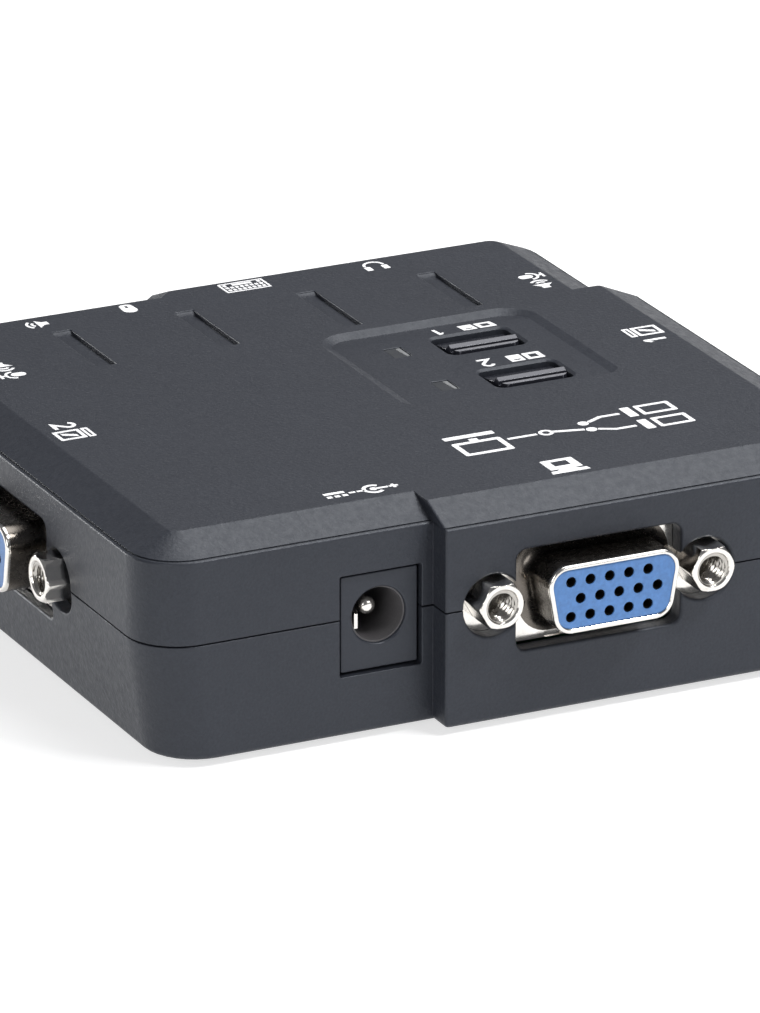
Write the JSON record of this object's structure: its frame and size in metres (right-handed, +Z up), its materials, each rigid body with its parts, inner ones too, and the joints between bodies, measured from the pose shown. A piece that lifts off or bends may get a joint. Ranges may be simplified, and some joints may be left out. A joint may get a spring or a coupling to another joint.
{
  "type": "kvm switch",
  "caption": "Flat square desktop switch box with stepped sides: display sockets on the sides, power, USB and audio sockets, selector push buttons in a shallow pocket on top.",
  "frame": {"origin": "centre of the bounding box at the underside of the rubber feet", "axes": "+Z up; -Y out of the wall with the power inlet and the monitor socket, +Y out of the user's wall with the USB and audio sockets, +X towards computer 1, -X towards computer 2"},
  "size_m": [0.0928, 0.0858, 0.0256],
  "materials": {
    "case": "fine spark-eroded texture",
    "button": "satin",
    "lens": "smoked, clear",
    "nickel": "bright nickel plate",
    "blue": "moulded",
    "black": "moulded",
    "rubber": "matte",
    "board": "solder mask",
    "chip": "moulded",
    "print": "white pad print",
    "contact": "thin gold plate"
  },
  "bodies": {
    "case": {"top_cover": "case", "bottom_cover": "case", "main_board": "board", "pc1_switch_body": "black", "pc1_lamp_lens": "lens", "pc1_lamp": "lens", "pc2_switch_body": "black", "pc2_lamp_lens": "lens", "pc2_lamp": "lens", "console_video_shell": "nickel", "console_video_insert": "blue", "console_screw_lock_left": "nickel", "console_screw_lock_right": "nickel", "pc2_video_shell": "nickel", "pc2_video_insert": "blue", "pc2_screw_lock_left": "nickel", "pc2_screw_lock_right": "nickel", "pc1_video_shell": "nickel", "pc1_video_insert": "blue", "pc1_screw_lock_left": "nickel", "pc1_screw_lock_right": "nickel", "power_inlet_housing": "case", "power_inlet_pin": "nickel", "power_inlet_spring": "nickel", "mouse_usb_shell": "nickel", "mouse_usb_tongue": "black", "keyboard_usb_shell": "nickel", "keyboard_usb_tongue": "black", "speaker_jack_housing": "black", "speaker_jack_sleeve": "nickel", "headset_jack_housing": "black", "headset_jack_sleeve": "nickel", "pc1_audio_jack_housing": "black", "pc1_audio_jack_sleeve": "nickel", "pc2_audio_jack_housing": "black", "pc2_audio_jack_sleeve": "nickel", "case_screw_1": "nickel", "case_screw_2": "nickel", "case_screw_3": "nickel", "case_screw_4": "nickel", "foot_1": "rubber", "foot_2": "rubber", "foot_3": "rubber", "foot_4": "rubber", "switch_chip": "chip", "hub_chip": "chip", "power_regulator": "chip", "crystal": "nickel", "capacitor_1": "nickel", "capacitor_2": "nickel"},
    "pc1_selector": {"pc1_button": "button", "pc1_switch_plunger": "black"},
    "pc2_selector": {"pc2_button": "button", "pc2_switch_plunger": "black"}
  },
  "joints": [
    {"name": "pc1_press", "type": "slide", "parent": "case", "child": "pc1_selector", "axis": [0, 0, -1], "range_m": [0, 0.0005], "stiffness_N_per_m": 600},
    {"name": "pc2_press", "type": "slide", "parent": "case", "child": "pc2_selector", "axis": [0, 0, -1], "range_m": [0, 0.0005], "stiffness_N_per_m": 600}
  ]
}
